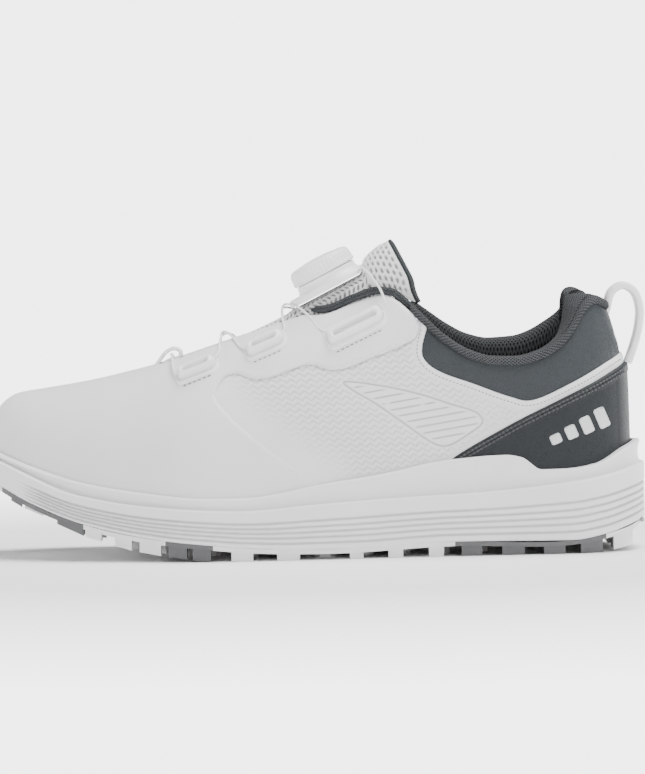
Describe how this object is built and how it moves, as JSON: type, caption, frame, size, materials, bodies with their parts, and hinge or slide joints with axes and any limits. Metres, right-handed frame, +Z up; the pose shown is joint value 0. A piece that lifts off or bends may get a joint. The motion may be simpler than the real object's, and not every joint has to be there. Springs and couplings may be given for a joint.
{
  "type": "golf shoe",
  "caption": "Low golf shoe, left foot, with a lugged spikeless sole, padded collar, lace guides and a turning, lifting dial that winds a thin lace.",
  "frame": {"origin": "on the ground, under the middle of the shoe's box", "axes": "+X towards the heel, -X towards the toe, -Y the outer (lateral) side, +Y the inner (medial) side, +Z up"},
  "size_m": [0.301, 0.1127, 0.1407],
  "materials": {
    "sole_white": "matte",
    "midsole_foam": "matte",
    "grip_grey": "matte",
    "shank": "matte",
    "board": "matte",
    "sockliner": "matte",
    "stiffener": "matte",
    "upper_white": "satin",
    "leather_grey": "satin",
    "badge": "satin",
    "strap_white": "satin",
    "lining_knit": "matte",
    "foam": "matte",
    "tongue_mesh": "matte",
    "guide_white": "satin",
    "lace": "satin",
    "dial_white": "satin",
    "dial_grip": "matte",
    "mechanism": "satin",
    "steel": "satin"
  },
  "bodies": {
    "shoe": {"outsole_plate": "sole_white", "toe_grip_insert": "grip_grey", "ball_grip_insert": "grip_grey", "heel_grip_insert": "grip_grey", "midsole": "midsole_foam", "shank_plate": "shank", "insole_board": "board", "sockliner": "sockliner", "heel_counter": "stiffener", "toe_puff": "stiffener", "vamp": "upper_white", "quarter_lateral": "upper_white", "quarter_medial": "upper_white", "collar_panel": "leather_grey", "heel_overlay": "leather_grey", "heel_badges": "badge", "pull_tab": "strap_white", "vamp_lining": "lining_knit", "quarter_lining": "lining_knit", "collar_foam": "foam", "collar_lining": "lining_knit", "eyestay_binding": "lining_knit", "toe_loop": "strap_white", "lace_guide_top_lateral": "guide_white", "lace_guide_top_medial": "guide_white", "lace_guide_middle_lateral": "guide_white", "lace_guide_middle_medial": "guide_white", "lace_guide_low_lateral": "guide_white", "lace_guide_low_medial": "guide_white", "lace": "lace"},
    "tongue": {"tongue_mesh": "tongue_mesh", "tongue_foam": "foam", "tongue_lining": "lining_knit", "tongue_binding": "lining_knit", "dial_flange": "dial_white", "dial_housing": "dial_white", "ratchet_ring": "mechanism", "dial_axle": "steel", "detent_spring": "steel"},
    "dial_lift": {"lift_sleeve": "mechanism"},
    "dial_knob": {"pawl_disc": "mechanism", "knob_core": "dial_white", "knob_grip": "dial_grip", "knob_cap": "dial_white"},
    "dial_spool": {"lace_spool": "dial_white"}
  },
  "joints": [
    {"name": "tongue_lift", "type": "hinge", "parent": "shoe", "child": "tongue", "pos_m": [-0.06, -0.001, 0.084], "axis": [0, -1, 0], "range_deg": [0, 14], "deforming": ["lace"]},
    {"name": "dial_pull", "type": "slide", "parent": "tongue", "child": "dial_lift", "axis": [-0.454, 0, 0.891], "range_m": [0, 0.0024]},
    {"name": "dial_turn", "type": "hinge", "parent": "dial_lift", "child": "dial_knob", "pos_m": [0.01025, -0.001, 0.1203], "axis": [-0.454, 0, 0.891], "continuous": true},
    {"name": "spool_turn", "type": "hinge", "parent": "tongue", "child": "dial_spool", "pos_m": [0.01025, -0.001, 0.1203], "axis": [-0.454, 0, 0.891], "continuous": true}
  ],
  "couplings": [
    {"joint": "spool_turn", "follows": "dial_turn", "ratio": 1}
  ]
}
